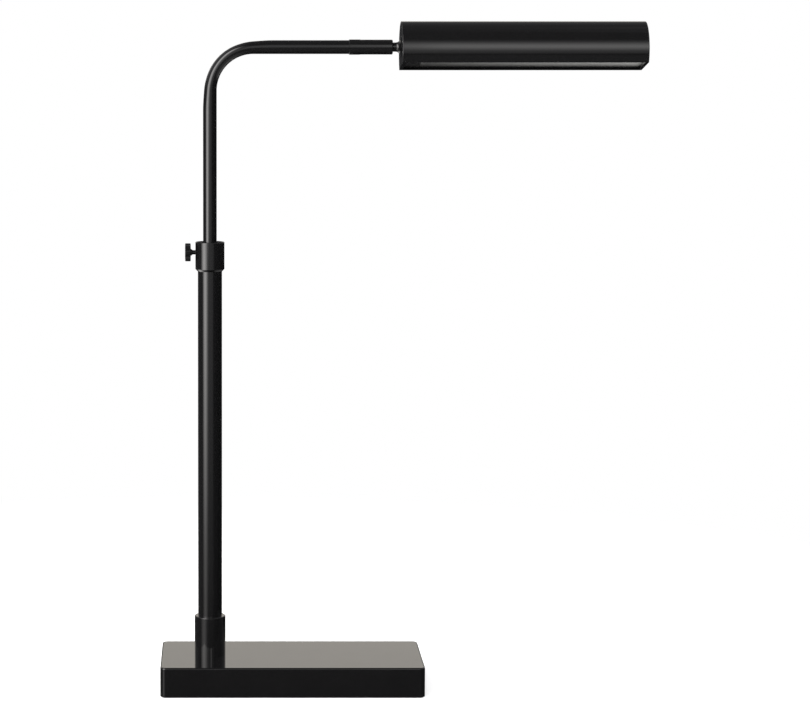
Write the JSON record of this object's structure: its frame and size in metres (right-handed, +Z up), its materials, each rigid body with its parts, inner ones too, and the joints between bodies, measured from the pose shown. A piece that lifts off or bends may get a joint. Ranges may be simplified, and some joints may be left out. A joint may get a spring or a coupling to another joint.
{
  "type": "piano lamp",
  "caption": "Black piano lamp: weighted rectangular base, telescopic pole with thumb screw, bent swing arm and slotted tube shade that rolls on a swivel.",
  "frame": {"origin": "where the pole's axis meets the underside of the felt pad", "axes": "+Z up along the pole, +X from the pole along the arm to the shade, -Y towards the user"},
  "size_m": [0.4444, 0.1091, 0.6163],
  "materials": {
    "gloss_black": "gloss",
    "zinc_steel": "satin",
    "spring_steel": "satin",
    "black_steel": "satin",
    "raw_iron": "rough",
    "felt": "matte",
    "nylon": "satin",
    "black_plastic": "satin",
    "frosted_plastic": "frosted",
    "bare_aluminium": "satin",
    "white_board": "gloss",
    "led_yellow": "satin"
  },
  "bodies": {
    "base": {"felt_pad": "felt", "base_plate": "zinc_steel", "plate_screws": "zinc_steel", "base_weight": "raw_iron", "base_housing": "gloss_black", "cord_bushing": "black_plastic", "pole_nipple": "zinc_steel", "nipple_washer": "zinc_steel", "nipple_nut": "zinc_steel", "foot_collar": "gloss_black", "foot_set_screw": "zinc_steel", "outer_tube": "gloss_black", "top_collar": "gloss_black", "collar_set_screw": "zinc_steel", "collar_bush": "nylon"},
    "tube_guide": {"guide_bush": "nylon"},
    "arm": {"arm_tube": "gloss_black", "guide_ring_lower": "spring_steel", "guide_ring_upper": "spring_steel", "arm_ferrule": "gloss_black"},
    "clamp_tip": {"clamp_pad": "nylon"},
    "clamp_screw": {"thumb_screw": "gloss_black"},
    "shade": {"swivel_stem": "zinc_steel", "swivel_washer": "nylon", "swivel_flange": "gloss_black", "swivel_lock_washer": "spring_steel", "swivel_nut": "zinc_steel", "shade_shell": "gloss_black", "pivot_end_cap": "gloss_black", "far_end_cap": "gloss_black", "end_cap_screws": "black_steel", "compartment_cover": "black_plastic", "diffuser": "frosted_plastic", "led_tray": "bare_aluminium", "led_board": "white_board", "led_chips": "led_yellow", "led_driver": "black_plastic", "switch_body": "black_plastic"},
    "button": {"switch_button": "black_plastic"}
  },
  "joints": [
    {"name": "height_slide", "type": "slide", "parent": "base", "child": "tube_guide", "axis": [0, 0, 1], "range_m": [-0.125, 0.12]},
    {"name": "arm_swing", "type": "hinge", "parent": "tube_guide", "child": "arm", "pos_m": [0, 0, 0.25], "axis": [0, 0, 1], "range_deg": [-175, 175]},
    {"name": "shade_roll", "type": "hinge", "parent": "arm", "child": "shade", "pos_m": [0.17415, 0, 0.5929], "axis": [1, 0, 0], "range_deg": [-160, 170]},
    {"name": "screw_feed", "type": "slide", "parent": "base", "child": "clamp_tip", "axis": [1, 0, 0], "range_m": [-0.0014, 0]},
    {"name": "screw_turn", "type": "hinge", "parent": "clamp_tip", "child": "clamp_screw", "pos_m": [-0.02, 0, 0.4051], "axis": [1, 0, 0], "range_deg": [-720, 0]},
    {"name": "button_press", "type": "slide", "parent": "shade", "child": "button", "axis": [-1, 0, 0], "range_m": [0, 0.0012], "stiffness_N_per_m": 900, "springref_m": -0.001}
  ],
  "couplings": [
    {"joint": "screw_turn", "follows": "screw_feed", "rad_per_m": 8976}
  ]
}
